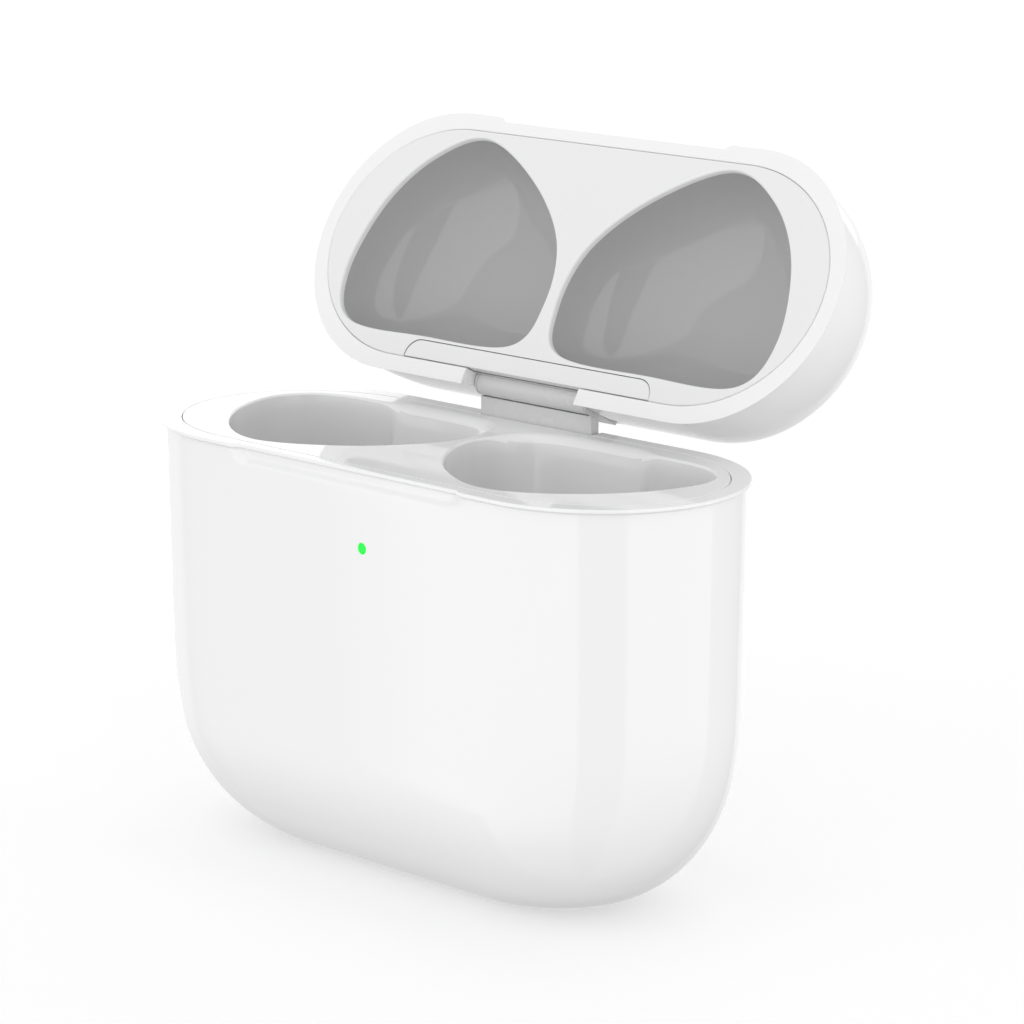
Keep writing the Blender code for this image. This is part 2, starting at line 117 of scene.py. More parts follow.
# The right-hand pocket in plan, one point for each turn of its rounded triangle.
POCKET_OUTLINE = [
    (0.55, 3.0),
    (1.6, -1.2),
    (5.2, -5.4),
    (10.6, -8.0),
    (15.3, -6.5),
    (19.5, -2.2),
    (21.2, 3.3),
    (18.5, 6.7),
    (11.0, 7.2),
    (3.4, 6.7),
]
# The right-hand recess in the lid, in the same axes. It reaches nearly to the edge of the liner.
RECESS_OUTLINE = [
    (0.6, 3.4),
    (1.6, -1.4),
    (5.9, -5.7),
    (11.9, -8.5),
    (16.6, -6.6),
    (19.9, -2.4),
    (21.1, 3.4),
    (18.9, 7.0),
    (11.0, 7.3),
    (2.4, 6.9),
]
POCKET_CENTRE = Vector((11.2, 0.2))
POCKET_POWER = 2.5
POCKET_WALL = 0.55
RECESS_WALL = 0.4
BOWL_DEPTH = 13.0
BOWL_TAPER = 0.28  # share by which the plan has shrunk at the floor
RECESS_FLOOR = 6.4
RECESS_TAPER = 0.82
MOUTH_EDGE = 0.22  # rounding of the mouth
BELOW_EDGE = 0.25  # from the lower end of that rounding to the next level
CUP_START = 0.3  # how far behind the face a cup starts
CUTTER_RISE = 1.0  # how far a cutter stands clear of the face
# The edge of a pocket is softer on its rear wall, from the middle of the case out to SOFT_LIMIT.
SOFT_EDGE = 1.15  # rounding of the mouth there
SOFT_LIMIT = 12.4
SOFT_SPREAD = 1.6  # half the width over which it fades out at that limit
SOFT_REAR = (3.2, 6.2)  # the y between which it comes in toward the rear
RIDGE_SPREAD = 0.12  # half the width of the ridge where the wall under it ends
RIDGE_REACH = 1.9  # how far that wall leans in, for each millimetre of extra rounding
RIDGE_LEVEL = 0.75  # the share of the depth over which it does so
STEM_CENTRE = (4.9, 1.6)
STEM_HALF = (3.1, 3.0)
STEM_TOP = 4.0
STEM_BOTTOM = 22.0
STEM_ROUND = 1.2  # rounding of a well's floor
CONTACT_SPACING = 1.0
HOLE_RADIUS = 0.42  # of the holes for the light and for the contacts
HOLE_LENGTH = 4.0
POCKET_PAINT = 0.5  # faces deeper than this take the pocket material, a darker copy of the insert plastic that paints shade into the pockets
RECESS_PAINT = 0.35  # and the same for the recesses, whose much darker material paints shade into them

# The hinge
COVER_HALF_WIDTH = 12.0
COVER_FRONT = 7.66
COVER_REAR = 9.05
COVER_RADIUS = 1.3
COVER_THICKNESS = 0.9
COVER_EDGE = 0.04  # bevel along its face
COVER_SEAM = 0.05
HINGE_HALF_WIDTH = 5.45
BARREL_RADIUS = 0.9
BORE_RADIUS = 0.37
BORE_LENGTH = 14
BLOCK_FRONT = 0.24  # from the hinge's axis to the front of the fixed block
BLOCK_REAR = 0.6  # and to its rear
BLOCK_TOP = 1.34
BLOCK_BOTTOM = -6.0
BLOCK_BEVEL = 0.06
SLOT_SIDE = 0.06  # room in the body at each side of the block
SLOT_GAP = 0.12  # and in front of it and under it
SLOT_TOP = 2
LUG_WIDTH = 0.2
LUG_INSET = 0.02  # how far the lugs lie inside the faces of the block
WEB_BOTTOM = 0.4
LEAF_GAP = 0.04  # between the leaf and each lug
FLANGE_REACH = 2.4  # how far the flange goes past the block at each side
NOTCH_STEP = 1.4  # height above which the lid's notch goes in deeper
NOTCH_OVERLAP = 0.05  # by which the notch's two cuts overlap
NOTCH_GAP = 0.1
LID_CUT_BOTTOM = -1  # cuts into the lid start under its rim
NOTCH_FRONT = 1.2  # from the hinge's axis to the front of the deeper cut
NOTCH_RISE = 3.6  # and to its top

# The port and the light
PORT_GAP = 0.06  # room round the ring in the body
PORT_WALL = 0.4  # width of the ring
PORT_SHOULDER = 0.06  # height over the CAD ring's lower face at which its sides end
PORT_CROWN = 0.02  # how far its crown goes below that face
PORT_CUT = (-2, 3)  # ends of the hole, from the underside
CORNER_SPARE = 0.01  # keeps two corners of the ring from meeting
# Each ring of the lens is a distance behind its front and a share of its radius.
LENS_EDGE = ((0.06, 1.0), (0.02, 0.9), (0.0, 0.6))

# How finely the shapes are divided
QUARTER_STEPS = 22
FRONT_STEPS = 64
NEAR_LEVELS = 13
NEAR_SPACING = 0.1
BODY_LEVELS = 34
LID_LEVELS = 26
RIM_STEPS = 5
POCKET_STEPS = 24
MOUTH_STEPS = 6
POCKET_LEVELS = 20
STEM_STEPS = 4
CORNER_STEPS = 8
ROUND_SIDES = 48
LENS_SIDES = 32
BEVEL_SEGMENTS = 3
SMOOTH_ANGLE = 40.0
HINGE_SMOOTH_ANGLE = 30


# Surfaces

SURFACE_IOR = 1.5
NOISE_RANGE = (0.3, 0.7)
GLOSS_NOISE_RATIO = 3.1
SKIN_RELIEF = 0.00002  # in metres, as is the next
SCRATCH_RELIEF = 0.00001
SCRATCH_STRENGTH = 0.15
SCRATCH_STRETCH = 0.03


def shader_nodes(name):
    """A new material with its nodes, its links and its shader."""
    made = bpy.data.materials.new(name)
    made.use_nodes = True
    return made, made.node_tree.nodes, made.node_tree.links, made.node_tree.nodes["Principled BSDF"]


def noise(nodes, links, scale):
    """Noise on the object's own coordinates, at this many cells to the metre."""
    place = nodes.new("ShaderNodeTexCoord")
    texture = nodes.new("ShaderNodeTexNoise")
    texture.inputs["Scale"].default_value = scale
    texture.inputs["Detail"].default_value = 3.0
    links.new(place.outputs["Object"], texture.inputs["Vector"])
    return texture.outputs["Fac"]


def remap(nodes, links, value, low, high):
    """The usual range of noise, stretched to run from low to high."""
    change = nodes.new("ShaderNodeMapRange")
    change.inputs["From Min"].default_value = NOISE_RANGE[0]
    change.inputs["From Max"].default_value = NOISE_RANGE[1]
    change.inputs["To Min"].default_value = low
    change.inputs["To Max"].default_value = high
    links.new(value, change.inputs["Value"])
    return change.outputs["Result"]


def blend_colours(nodes, links, value, first, second):
    """The first colour where the value is 0 and the second where it is 1."""
    mix = nodes.new("ShaderNodeMix")
    mix.data_type = "RGBA"
    mix.inputs["A"].default_value = (*first, 1)
    mix.inputs["B"].default_value = (*second, 1)
    links.new(value, mix.inputs["Factor"])
    return mix.outputs["Result"]


def add_relief(nodes, links, shader, height, strength, distance):
    """Fine relief from a pattern of heights, with its distance in metres."""
    relief = nodes.new("ShaderNodeBump")
    relief.inputs["Strength"].default_value = strength
    relief.inputs["Distance"].default_value = distance
    links.new(height, relief.inputs["Height"])
    links.new(relief.outputs["Normal"], shader.inputs["Normal"])


def moulded(name, color, spread, rough, texture_scale, bump, grain=9000.0, metallic=0.0):
    """Moulded or finished surface: slight colour drift, uneven gloss and a fine skin texture."""
    made, nodes, links, shader = shader_nodes(name)
    drift = noise(nodes, links, texture_scale)
    darker = tuple(channel * (1 - spread) for channel in color)
    links.new(blend_colours(nodes, links, drift, color, darker), shader.inputs["Base Color"])
    gloss = noise(nodes, links, texture_scale * GLOSS_NOISE_RATIO)
    links.new(remap(nodes, links, gloss, rough[0], rough[1]), shader.inputs["Roughness"])
    add_relief(nodes, links, shader, noise(nodes, links, grain), bump, SKIN_RELIEF)
    shader.inputs["Metallic"].default_value = metallic
    shader.inputs["IOR"].default_value = SURFACE_IOR
    return made


def lamp_lens(name):
    """A lit green lens of slightly uneven colour."""
    made, nodes, links, shader = shader_nodes(name)
    value = noise(nodes, links, 2500.0)
    colour = blend_colours(nodes, links, value, (0.0, 0.9, 0.05), (0.0, 0.78, 0.04))
    links.new(colour, shader.inputs["Base Color"])
    links.new(colour, shader.inputs["Emission Color"])
    shader.inputs["Emission Strength"].default_value = 0.5
    shader.inputs["Roughness"].default_value = 0.3
    return made


def brushed(name, color, rough, scale):
    """Metal with fine parallel scratches along x."""
    made, nodes, links, shader = shader_nodes(name)
    place = nodes.new("ShaderNodeTexCoord")
    stretch = nodes.new("ShaderNodeMapping")
    stretch.inputs["Scale"].default_value = (scale * SCRATCH_STRETCH, scale, scale)
    lines = nodes.new("ShaderNodeTexNoise")
    lines.inputs["Scale"].default_value = 1.0
    lines.inputs["Detail"].default_value = 4.0
    links.new(place.outputs["Object"], stretch.inputs["Vector"])
    links.new(stretch.outputs["Vector"], lines.inputs["Vector"])
    scratches = lines.outputs["Fac"]
    darker = tuple(channel * 0.86 for channel in color)
    links.new(blend_colours(nodes, links, scratches, color, darker), shader.inputs["Base Color"])
    links.new(remap(nodes, links, scratches, rough * 0.8, rough * 1.3), shader.inputs["Roughness"])
    add_relief(nodes, links, shader, scratches, SCRATCH_STRENGTH, SCRATCH_RELIEF)
    shader.inputs["Metallic"].default_value = 1.0
    return made


def circuit(name):
    """Solder mask with a faint grid of tracks under it."""
    made, nodes, links, shader = shader_nodes(name)
    place = nodes.new("ShaderNodeTexCoord")
    tracks = nodes.new("ShaderNodeTexBrick")
    tracks.inputs["Scale"].default_value = 900.0
    tracks.inputs["Mortar Size"].default_value = 0.06
    tracks.inputs["Color1"].default_value = (0.012, 0.13, 0.05, 1)
    tracks.inputs["Color2"].default_value = (0.02, 0.16, 0.07, 1)
    tracks.inputs["Mortar"].default_value = (0.05, 0.26, 0.1, 1)
    links.new(place.outputs["Object"], tracks.inputs["Vector"])
    links.new(tracks.outputs["Color"], shader.inputs["Base Color"])
    links.new(remap(nodes, links, tracks.outputs["Fac"], 0.35, 0.5), shader.inputs["Roughness"])
    return made


GLOSS = moulded("gloss_plastic", (0.885, 0.885, 0.888), 0.012, (0.004, 0.015), 60.0, 0.02)
SATIN = moulded("insert_plastic", (0.87, 0.87, 0.873), 0.012, (0.03, 0.06), 60.0, 0.03)
# A darker copy of the insert plastic for the lid's liner and hinge cover: painted shade.
LINER = moulded("liner_painted_shade", (0.82, 0.82, 0.823), 0.012, (0.03, 0.06), 60.0, 0.03)
# A darker copy of the insert plastic for the faces deep in the pockets: painted shade.
POCKET = moulded("pocket_painted_shade", (0.76, 0.76, 0.765), 0.02, (0.06, 0.1), 90.0, 0.06)
# A much darker copy of the liner plastic for the faces deep in the recesses: painted shade.
RECESS = moulded("recess_painted_shade", (0.44, 0.44, 0.445), 0.02, (0.04, 0.08), 90.0, 0.05)
# The hinge's white plastic made grey: painted shade, with a real satin roughness.
HINGE_SHADED_SATIN = moulded("hinge_satin_painted_shade", (0.66, 0.66, 0.665), 0.02, (0.2, 0.3), 120.0, 0.1)
STEEL = brushed("satin_steel", (0.62, 0.62, 0.64), 0.28, 30000.0)
NICKEL = brushed("nickel_plate", (0.66, 0.64, 0.6), 0.2, 20000.0)
GOLD = moulded("gold_plate", (0.86, 0.62, 0.24), 0.06, (0.15, 0.3), 900.0, 0.1, metallic=1.0)
CELL = moulded("cell_foil", (0.6, 0.61, 0.63), 0.12, (0.3, 0.5), 500.0, 0.6, grain=1500.0, metallic=0.8)
EPOXY = moulded("chip_epoxy", (0.02, 0.02, 0.022), 0.3, (0.35, 0.55), 800.0, 0.4)
FILM = moulded("flex_film", (0.45, 0.2, 0.03), 0.15, (0.3, 0.45), 700.0, 0.2)
BOARD = circuit("solder_mask")
LAMP = lamp_lens("lamp_green")


# Mesh tools


def shade(mesh, sharp):
    """Smooth shading, apart from edges sharper than an angle in degrees."""
    mesh.shade_smooth()
    mesh.set_sharp_from_angle(angle=math.radians(sharp))


def make(name, shape, material, sharp=SMOOTH_ANGLE):
    """An object from a bmesh in the closed case's axes."""
    bmesh.ops.recalc_face_normals(shape, faces=shape.faces)
    mesh = bpy.data.meshes.new(name)
    for vertex in shape.verts:
        vertex.co = MIDDLE + vertex.co * MM
    shape.to_mesh(mesh)
    shape.free()
    obj = bpy.data.objects.new(name, mesh)
    bpy.context.scene.collection.objects.link(obj)
    if material is not None:
        mesh.materials.append(material)
    shade(mesh, sharp)
    return obj


def bridge(shape, upper, lower):
    """Faces between two rows of vertices of equal length, all the way round."""
    for i in range(len(upper)):
        j = (i + 1) % len(upper)
        shape.faces.new((upper[i], upper[j], lower[j], lower[i]))


def loft(name, rings, material=None, sharp=SMOOTH_ANGLE):
    """Rings of points of equal length, joined in order and capped at both ends."""
    shape = bmesh.new()
    rows = [[shape.verts.new(point) for point in ring] for ring in rings]
    for upper, lower in zip(rows, rows[1:]):
        bridge(shape, upper, lower)
    shape.faces.new(rows[0])
    shape.faces.new(rows[-1])
    return make(name, shape, material, sharp)


def prism(name, outline, low, high):
    """An outline in plan, drawn out from one height to another, to cut with."""
    return loft(name, [[(x, y, z) for x, y in outline] for z in (low, high)])


def block(name, low, high, material=None, bevel=0.0):
    """A box between two corners, with rounded edges if bevel is given."""
    size = [b - a for a, b in zip(low, high)]
    middle = [(a + b) / 2 for a, b in zip(low, high)]
    shape = bmesh.new()
    bmesh.ops.create_cube(shape, size=1, matrix=Matrix.Translation(middle) @ Matrix.Diagonal((*size, 1)))
    if bevel:
        edges = shape.edges[:]
        bmesh.ops.bevel(
            shape, geom=edges, offset=bevel, segments=BEVEL_SEGMENTS, profile=0.5, affect="EDGES"
        )
    return make(name, shape, material)


def rod(name, centre, axis, radius, length, material=None):
    """A cylinder about an axis through its centre."""
    turn = Vector(Z_AXIS).rotation_difference(Vector(axis)).to_matrix().to_4x4()
    shape = bmesh.new()
    bmesh.ops.create_cone(
        shape,
        cap_ends=True,
        segments=ROUND_SIDES,
        radius1=radius,
        radius2=radius,
        depth=length,
        matrix=Matrix.Translation(centre) @ turn,
    )
    return make(name, shape, material)


def turn_open(obj):
    """Turns a piece of the closed lid back about the hinge to the open stop."""
    turn = Matrix.Rotation(-OPEN_ANGLE, 4, "X")
    obj.data.transform(Matrix.Translation(AXIS) @ turn @ Matrix.Translation(-AXIS))


def combine(obj, other, operation="DIFFERENCE"):
    """A Boolean that is applied at once, after which the other object goes."""
    modifier = obj.modifiers.new(other.name, "BOOLEAN")
    modifier.operation = operation
    modifier.object = other
    bpy.context.view_layer.update()
    graph = bpy.context.evaluated_depsgraph_get()
    obj.data = bpy.data.meshes.new_from_object(obj.evaluated_get(graph))
    obj.modifiers.clear()
    bpy.data.objects.remove(other)


def even_normals(obj, sharp=SMOOTH_ANGLE):
    """Normals that lie flat on the large faces after cutting."""
    shade(obj.data, sharp)
    even = obj.modifiers.new("even_normals", "WEIGHTED_NORMAL")
    even.keep_sharp = True
    even.weight = 80


def paint_depth(obj, limit, sign):
    """Gives the second material, a darker copy that paints shade into the hollows, to the faces that lie
    farther than a limit from the plane of the rim.
    """
    for polygon in obj.data.polygons:
        depth = sign * (polygon.center - MIDDLE).z / MM
        polygon.material_index = int(depth > limit)


def dress(obj, node, body):
    """The piece stands for a CAD node and moves with a body; a piece of the lid is first turned open."""
    if body == "lid":
        turn_open(obj)
    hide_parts(node)
    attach(obj, body)


def node_box(node):
    """A CAD node's corners in the closed case's axes, in millimetres, for a node of the body."""
    low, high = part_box(node)
    return (low - MIDDLE) / MM, (high - MIDDLE) / MM


# Outlines and rings


def superellipse(t, reach, power):
    """A curve that rises ever faster from 0 at t = 0 to reach at t = 1."""
    t = min(max(t, 0.0), 1.0)
    return reach * (1 - (1 - t**power) ** (1 / power))


def rounding(distance, height, reach, rise, power):
    """How far the wall has come in over the last rise of its height."""
    return superellipse((distance - (height - rise)) / rise, reach, power)


def smoothstep(low, high, value):
    """0 below low, 1 above high and a smooth change between."""
    t = min(max((value - low) / (high - low), 0.0), 1.0)
    return t * t * (3 - 2 * t)


def unit_plan():
    """The shells' plan at the rim, anticlockwise from the right, with points along the straight sides."""
    half_x, half_y = WIDTH / 2, DEPTH / 2
    flat = half_x - CORNER_LENGTH
    points = []
    for quarter, (sign_x, sign_y) in enumerate(((1, 1), (-1, 1), (-1, -1), (1, -1))):
        for step in range(QUARTER_STEPS):
            angle = math.pi / 2 * (quarter + step / QUARTER_STEPS)
            points.append((sign_x * flat + CORNER_LENGTH * math.cos(angle), half_y * math.sin(angle)))
        if quarter in (0, 2):
            for step in range(FRONT_STEPS):
                x = flat * (1 - 2 * step / FRONT_STEPS)
                points.append((x if quarter == 0 else -x, sign_y * half_y))
    return points


PLAN = unit_plan()


def scoop(x, y, distance):
    """How deep the finger scoop is at a point of the front wall, this far from the rim plane."""
    if y > 0:
        return 0.0
    end = SCOOP_HALF_WIDTH - SCOOP_HEIGHT
    reach = math.hypot(max(abs(x) - end, 0.0), distance)
    return SCOOP_DEPTH * (1 - smoothstep(SCOOP_HEIGHT - SCOOP_FADE, SCOOP_HEIGHT, reach))


def shell_plan(distance, height, round_x, round_y, draft, inset, with_scoop):
    """A shell's plan this far from the rim plane, drawn in by an inset."""
    lip = LIP * smoothstep(LIP_START, LIP_END, distance)
    straight = lip + draft * distance + inset
    half_x = WIDTH / 2 - straight - rounding(distance, height, *round_x)
    half_y = DEPTH / 2 - straight - rounding(distance, height, *round_y)
    ring = []
    for x, y in PLAN:
        px, py = x * half_x / (WIDTH / 2), y * half_y / (DEPTH / 2)
        if with_scoop:
            py += scoop(px, py, distance)
        ring.append((px, py))
    return ring


def body_plan(distance, inset=0.0, with_scoop=True):
    """The body's outline this far from the rim plane."""
    return shell_plan(distance, HEIGHT, BODY_ROUND_X, BODY_ROUND_Y, BODY_DRAFT, inset, with_scoop)


def lid_plan(distance, inset=0.0, with_scoop=True):
    """The lid's outline this far from the rim plane."""
    return shell_plan(distance, LID_HEIGHT, LID_ROUND_X, LID_ROUND_Y, LID_DRAFT, inset, with_scoop)


def shell_levels(first, height, count):
    """Distances from the rim: close together through the lip and the scoop, and again at the far end."""
    near = [first + RIM_EDGE + NEAR_SPACING * i for i in range(1, NEAR_LEVELS + 1)]
    start = near[-1]
    return near + [start + (height - start) * math.sin(math.pi / 2 * i / count) for i in range(1, count + 1)]


def shell_rings(plan, height, first, count, sign):
    """From the far end along the outside to the rim, over its rounded edge, and back along the inside."""
    levels = shell_levels(first, height, count)
    rings = [[(x, y, sign * level) for x, y in plan(level)] for level in reversed(levels)]
    for i in range(RIM_STEPS + 1):
        angle = math.pi / 2 * i / RIM_STEPS
        level = first + RIM_EDGE * (1 - math.sin(angle))
        inset = RIM_EDGE * (1 - math.cos(angle))
        rings.append([(x, y, sign * level) for x, y in plan(level, inset)])
    for level, inset in ((first, WALL + LIP - INNER_EDGE), (first + INNER_EDGE, WALL + LIP)):
        rings.append([(x, y, sign * level) for x, y in plan(first, inset, False)])
    for level in levels[1:]:
        inside = level * (height - WALL) / height
        if inside > INNER_START:
            rings.append([(x, y, sign * inside) for x, y in plan(level, WALL, False)])
    return rings


def insert_rings(plan, face, back, sign):
    """The flat plate of an insert. A bead under its bevelled edge all but closes the seam."""
    edge = [(face + distance, extra) for distance, extra in INSERT_EDGE]
    rings = []
    for level, extra in ((back, SEAM), *edge, (face, SEAM + FACE_BEVEL)):
        rings.append([(x, y, sign * level) for x, y in plan(0.0, WALL + LIP + extra, False)])
    return rings


def smooth_outline(outline, side):
    """An outline as a closed run of Catmull-Rom points, and the outward direction at each."""
    count = len(outline)
    points = []
    for i in range(count):
        a, b, c, d = (Vector(outline[(i + k) % count]) for k in (-1, 0, 1, 2))
        for step in range(POCKET_STEPS):
            t = step / POCKET_STEPS
            curve = (2 * a - 5 * b + 4 * c - d) * t**2 + (3 * b - a - 3 * c + d) * t**3
            points.append(0.5 * (2 * b + (c - a) * t + curve))
    outward = []
    for i, point in enumerate(points):
        along = points[(i + 1) % len(points)] - points[i - 1]
        normal = Vector((along.y, -along.x)).normalized()
        if normal.dot(point - POCKET_CENTRE) < 0:
            normal = -normal
        outward.append(normal)
    return [(Vector((side * p.x, p.y)), Vector((side * n.x, n.y))) for p, n in zip(points, outward)]


def rear_side(point, spread):
    """1 on the rear wall of a pocket toward the middle of the case, 0 elsewhere."""
    near_middle = 1 - smoothstep(SOFT_LIMIT - spread, SOFT_LIMIT + spread, abs(point.x))
    return near_middle * smoothstep(*SOFT_REAR, point.y)


def pocket_rings(outline, side, depth, taper, sign, surface, soft=0.0, wall=0.0):
    """Rings of a pocket from above its mouth to its floor. soft widens the edge toward the hinge.

    With a wall they are the cup round the pocket instead, which has no rounded mouth.
    """
    outline = smooth_outline(outline, side)
    edges = [MOUTH_EDGE + soft * rear_side(point, SOFT_SPREAD) for point, _ in outline]
    centre = Vector((side * POCKET_CENTRE.x, POCKET_CENTRE.y))
    rings = []

    def ring(level, widen=0.0):
        """The outline at a level, with this share of each point's edge added."""
        shrink = 1 - superellipse(level / depth, taper, POCKET_POWER)
        points = []
        for (point, normal), edge in zip(outline, edges):
            grown = point + normal * (wall + edge * widen)
            ridge = RIDGE_REACH * soft * rear_side(point, RIDGE_SPREAD)
            slope = ridge * smoothstep(0.0, RIDGE_LEVEL, level / depth)
            grown = centre + (grown - normal * slope - centre) * shrink
            points.append((grown.x, grown.y))
        return points

    if wall == 0:
        rings.append([(x, y, sign * (surface - CUTTER_RISE)) for x, y in ring(0, 1.0)])
        for i in range(MOUTH_STEPS):
            angle = math.pi / 2 * i / MOUTH_STEPS
            drops = [edge * (1 - math.cos(angle)) for edge in edges]
            plan = ring(0, 1 - math.sin(angle))
            rings.append([(x, y, sign * (surface + drop)) for (x, y), drop in zip(plan, drops)])
    else:
        rings.append([(x, y, sign * (surface + CUP_START)) for x, y in ring(0)])
    first = MOUTH_EDGE + soft + BELOW_EDGE
    for i in range(POCKET_LEVELS + 1):
        level = first + (depth - first) * math.sin(math.pi / 2 * i / POCKET_LEVELS)
        z = sign * (surface + level + wall * (i == POCKET_LEVELS))
        rings.append([(x, y, z) for x, y in ring(level)])
    return rings


def stem_rings(side, wall=0.0):
    """The round well under a bowl, with a rounded floor. With a wall they are the tube round it."""
    levels = [(STEM_TOP, 0.0), (STEM_BOTTOM - STEM_ROUND, 0.0)]
    for i in range(1, STEM_STEPS + 1):
        angle = math.pi / 2 * i / STEM_STEPS
        level = STEM_BOTTOM - STEM_ROUND * (1 - math.sin(angle))
        levels.append((level, STEM_ROUND * (1 - math.cos(angle))))
    rings = []
    for level, inset in levels:
        ring = []
        for i in range(ROUND_SIDES):
            angle = 2 * math.pi * i / ROUND_SIDES
            x = side * STEM_CENTRE[0] + (STEM_HALF[0] + wall - inset) * math.cos(angle)
            y = STEM_CENTRE[1] + (STEM_HALF[1] + wall - inset) * math.sin(angle)
            ring.append((x, y, -level - (wall if level > STEM_TOP else 0)))
        rings.append(ring)
    return rings


def rounded_rectangle(half_x, half_y, radius):
    """A rectangle with rounded corners in plan, anticlockwise from the right."""
    points = []
    for quarter, (sign_x, sign_y) in enumerate(((1, 1), (-1, 1), (-1, -1), (1, -1))):
        for step in range(CORNER_STEPS + 1):
            angle = math.pi / 2 * (quarter + step / CORNER_STEPS)
            x = sign_x * (half_x - radius) + radius * math.cos(angle)
            y = sign_y * (half_y - radius) + radius * math.sin(angle)
            points.append((x, y))
    return points


def cover_outline():
    """The hinge cover in plan, with its two front corners rounded."""
    corner = []
    for step in range(CORNER_STEPS + 1):
        angle = math.pi / 2 * step / CORNER_STEPS
        x = COVER_HALF_WIDTH - COVER_RADIUS + COVER_RADIUS * math.cos(angle)
        corner.append((x, COVER_FRONT + COVER_RADIUS - COVER_RADIUS * math.sin(angle)))
    outline = corner + [(-x, y) for x, y in reversed(corner)]
    return outline + [(-COVER_HALF_WIDTH, COVER_REAR), (COVER_HALF_WIDTH, COVER_REAR)]


# The body


def make_body_shell():
    """The outer body, with a slot for the hinge and holes for the light and the port."""
    obj = loft("case_body", shell_rings(body_plan, HEIGHT, 0.0, BODY_LEVELS, DOWN), GLOSS)
    slot_half = HINGE_HALF_WIDTH + SLOT_SIDE
    slot_low = (-slot_half, HINGE_Y - BLOCK_FRONT - SLOT_GAP, BLOCK_BOTTOM - SLOT_GAP)
    combine(obj, block("hinge_slot", slot_low, (slot_half, DEPTH, SLOT_TOP)))
    low, high = node_box("light_guide")
    led = (low + high) / 2
    combine(obj, rod("lens_hole", (led.x, -DEPTH / 2, led.z), Y_AXIS, HOLE_RADIUS, HOLE_LENGTH))
    low, high = node_box("port_trim")
    half_x, half_y = (high.x - low.x) / 2, (high.y - low.y) / 2
    hole = rounded_rectangle(half_x + PORT_GAP, half_y + PORT_GAP, half_y)
    combine(obj, prism("port_hole", hole, -HEIGHT + PORT_CUT[0], -HEIGHT + PORT_CUT[1]))
    even_normals(obj)
    dress(obj, "body_shell", "body")


def make_body_insert():
    """The top face with its two pockets, a well under each and the holes for the charging contacts."""
    obj = loft("pocket_insert", insert_rings(body_plan, 0.0, INSERT_PLATE, DOWN), SATIN)
    # the second material paints shade into the pockets
    obj.data.materials.append(POCKET)
    bowl_size = (BOWL_DEPTH, BOWL_TAPER, DOWN, 0.0)
    for side, word in SIDES:
        cup = pocket_rings(POCKET_OUTLINE, side, *bowl_size, wall=POCKET_WALL)
        combine(obj, loft(f"cup_{word}", cup), "UNION")
        combine(obj, loft(f"well_{word}", stem_rings(side, POCKET_WALL)), "UNION")
    for side, word in SIDES:
        bowl = pocket_rings(POCKET_OUTLINE, side, *bowl_size, soft=SOFT_EDGE - MOUTH_EDGE)
        combine(obj, loft(f"bowl_{word}", bowl))
        combine(obj, loft(f"stem_{word}", stem_rings(side)))
        for row in (-1, 1):
            at = (side * STEM_CENTRE[0], STEM_CENTRE[1] + row * CONTACT_SPACING, -STEM_BOTTOM)
            combine(obj, rod("contact_hole", at, Z_AXIS, HOLE_RADIUS, HOLE_LENGTH))
    # faces deep in the pockets get the darker copy: painted shade
    paint_depth(obj, POCKET_PAINT, DOWN)
    even_normals(obj)
    dress(obj, "body_insert", "body")


def make_light():
    """The lens in the front wall, flush with the gloss and slightly domed."""
    low, high = node_box("light_guide")
    centre, radius = (low + high) / 2, (high.x - low.x) / 2
    front = -DEPTH / 2 + LIP + BODY_DRAFT * -centre.z
    face = [(front + distance, radius * share) for distance, share in LENS_EDGE]
    rings = []
    for y, r in ((high.y, radius), *face):
        ring = []
        for i in range(LENS_SIDES):
            angle = 2 * math.pi * i / LENS_SIDES
            ring.append((centre.x + r * math.cos(angle), y, centre.z + r * math.sin(angle)))
        rings.append(ring)
    dress(loft("light_lens", rings, LAMP), "light_guide", "body")


def make_port():
    """The steel ring of the charging socket, with its lower edge crowned."""
    low, high = node_box("port_trim")
    half_x, half_y = (high.x - low.x) / 2, (high.y - low.y) / 2
    outer = rounded_rectangle(half_x, half_y, half_y - CORNER_SPARE)
    inner = [(x * (1 - PORT_WALL / abs(high.x)), y * (1 - PORT_WALL / abs(high.y))) for x, y in outer]
    shape = bmesh.new()
    rings = []
    shoulder = low.z + PORT_SHOULDER
    for outline, levels in ((outer, (shoulder, high.z)), (inner, (high.z, shoulder))):
        rings += [[(x, y, z) for x, y in outline] for z in levels]
    crown = low.z - PORT_CROWN
    rings.append([((x + u) / 2, (y + v) / 2, crown) for (x, y), (u, v) in zip(inner, outer)])
    rows = [[shape.verts.new(point) for point in ring] for ring in rings]
    for k in range(len(rows)):
        bridge(shape, rows[k], rows[(k + 1) % len(rows)])
    dress(make("port_ring", shape, STEEL), "port_trim", "body")


# The hinge


